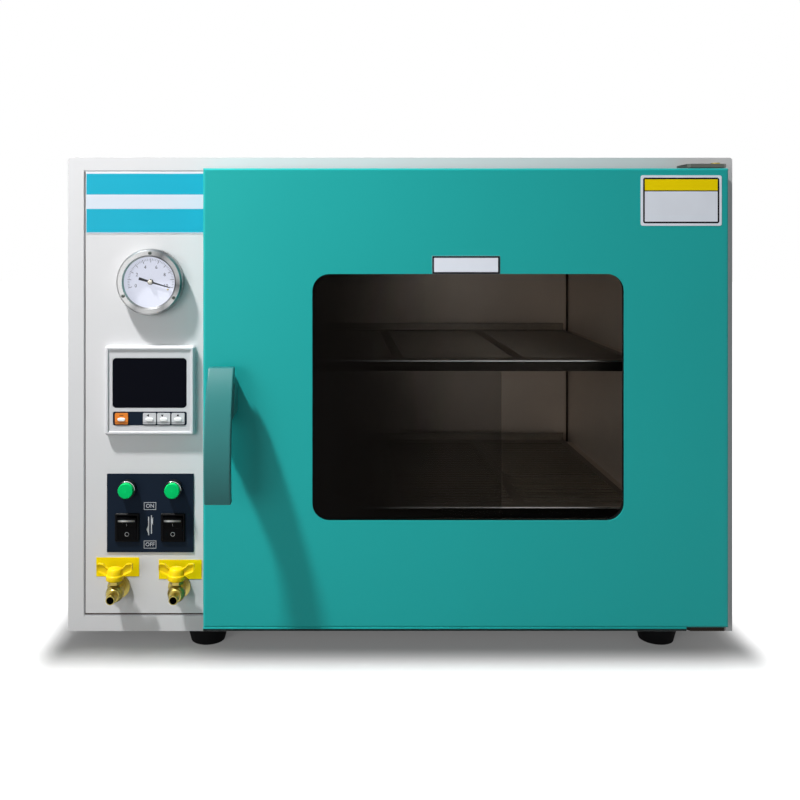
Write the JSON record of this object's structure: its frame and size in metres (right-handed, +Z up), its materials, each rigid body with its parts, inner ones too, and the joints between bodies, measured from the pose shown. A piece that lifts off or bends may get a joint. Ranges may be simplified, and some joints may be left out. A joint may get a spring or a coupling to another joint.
{
  "type": "vacuum oven",
  "caption": "Bench-top vacuum drying oven: glazed door on side hinges with a lever latch, shelved chamber, dial gauge, temperature controller, rocker switches and ball valves.",
  "frame": {"origin": "centre of the footprint, on the surface that the feet stand on", "axes": "+Z up, -Y out of the front, +X to the right of someone facing the oven"},
  "size_m": [0.72, 0.545, 0.53],
  "materials": {
    "cabinet_paint": "fine light grey powder coat",
    "door_paint": "teal gloss paint",
    "frame_steel": "galvanised sheet",
    "chamber_steel": "satin stainless",
    "bright_steel": "polished steel",
    "black_rubber": "matt",
    "silicone": "silicone seal",
    "blanket": "mineral wool",
    "heater": "foil faced mat",
    "film": "printed film",
    "blue_plate": "dark plate",
    "yellow_plate": "yellow film",
    "gauge_steel": "turned steel",
    "dial_white": "white dial",
    "clear_glass": "clear",
    "tinted_glass": "brown tint",
    "thick_glass": "toughened",
    "grey_plastic": "moulded",
    "black_plastic": "moulded black",
    "screen": "dark display",
    "orange_key": "orange",
    "white_key": "white",
    "green_lens": "green lamp",
    "brass": "turned brass",
    "yellow_coat": "yellow coated casting",
    "copper": "copper tube",
    "pointer_black": "black"
  },
  "bodies": {
    "cabinet": {"outer_wrap": "cabinet_paint", "base_pan": "cabinet_paint", "rear_cover": "cabinet_paint", "front_frame": "frame_steel", "latch_keeper": "bright_steel", "inner_chamber": "chamber_steel", "door_gasket": "silicone", "heater_plates": "heater", "insulation_blanket": "blanket", "temperature_probe": "chamber_steel", "chamber_rails": "frame_steel", "shelf_upper": "chamber_steel", "shelf_lower": "chamber_steel", "shelf_rails": "chamber_steel", "feet": "black_rubber", "foot_screws": "bright_steel", "cover_screws": "bright_steel", "hinge_brackets": "bright_steel", "hinge_pins": "brass", "control_panel": "cabinet_paint", "header_film": "film", "switch_plate": "blue_plate", "valve_labels": "yellow_plate", "bulkhead": "frame_steel", "gauge_bezel": "gauge_steel", "gauge_case": "gauge_steel", "gauge_dial": "dial_white", "gauge_lens": "clear_glass", "gauge_screws": "bright_steel", "controller_bezel": "grey_plastic", "controller_case": "black_plastic", "controller_screen": "screen", "key_strip": "blue_plate", "rocker_frames": "black_plastic", "lamp_collars": "grey_plastic", "lamp_lenses": "green_lens", "valve_bodies": "brass", "valve_nuts": "brass", "vacuum_tubes": "copper", "solid_state_relay": "heater", "cord_gland": "black_plastic", "gland_nut": "black_plastic"},
    "door": {"door_shell": "door_paint", "door_inner_panel": "frame_steel", "outer_glass": "tinted_glass", "window_seal": "black_rubber", "inner_glass": "thick_glass", "handle_bush": "brass", "hinge_bushes": "brass"},
    "latch": {"door_handle": "door_paint", "latch_shaft": "bright_steel"},
    "pointer": {"gauge_pointer": "pointer_black"},
    "set_key": {"key_set": "orange_key"},
    "shift_key": {"key_shift": "white_key"},
    "down_key": {"key_down": "white_key"},
    "up_key": {"key_up": "white_key"},
    "power_rocker": {"rocker_power": "black_plastic"},
    "heat_rocker": {"rocker_heat": "black_plastic"},
    "left_valve_handle": {"valve_handle_left": "yellow_coat"},
    "right_valve_handle": {"valve_handle_right": "yellow_coat"}
  },
  "joints": [
    {"name": "door_hinge", "type": "hinge", "parent": "cabinet", "child": "door", "pos_m": [0.333, -0.201, 0.276], "axis": [0, 0, 1], "range_deg": [0, 110]},
    {"name": "latch_turn", "type": "hinge", "parent": "door", "child": "latch", "pos_m": [-0.187, -0.215, 0.276], "axis": [0, -1, 0], "range_deg": [0, 90]},
    {"name": "pointer_sweep", "type": "hinge", "parent": "cabinet", "child": "pointer", "pos_m": [-0.2696, -0.18, 0.3956], "axis": [0, -1, 0], "range_deg": [0, 210], "stiffness_Nm_per_rad": 0.0004},
    {"name": "set_key_press", "type": "slide", "parent": "cabinet", "child": "set_key", "axis": [0, 1, 0], "range_m": [0, 0.0008], "stiffness_N_per_m": 300},
    {"name": "shift_key_press", "type": "slide", "parent": "cabinet", "child": "shift_key", "axis": [0, 1, 0], "range_m": [0, 0.0008], "stiffness_N_per_m": 300},
    {"name": "down_key_press", "type": "slide", "parent": "cabinet", "child": "down_key", "axis": [0, 1, 0], "range_m": [0, 0.0008], "stiffness_N_per_m": 300},
    {"name": "up_key_press", "type": "slide", "parent": "cabinet", "child": "up_key", "axis": [0, 1, 0], "range_m": [0, 0.0008], "stiffness_N_per_m": 300},
    {"name": "power_rocker_tilt", "type": "hinge", "parent": "cabinet", "child": "power_rocker", "pos_m": [-0.2956, -0.1785, 0.1296], "axis": [-1, 0, 0], "range_deg": [0, 15]},
    {"name": "heat_rocker_tilt", "type": "hinge", "parent": "cabinet", "child": "heat_rocker", "pos_m": [-0.246, -0.1785, 0.1296], "axis": [-1, 0, 0], "range_deg": [0, 15]},
    {"name": "left_valve_turn", "type": "hinge", "parent": "cabinet", "child": "left_valve_handle", "pos_m": [-0.3045, -0.2, 0.085], "axis": [0, 0, 1], "range_deg": [0, 90]},
    {"name": "right_valve_turn", "type": "hinge", "parent": "cabinet", "child": "right_valve_handle", "pos_m": [-0.239, -0.2, 0.085], "axis": [0, 0, 1], "range_deg": [0, 90]}
  ]
}
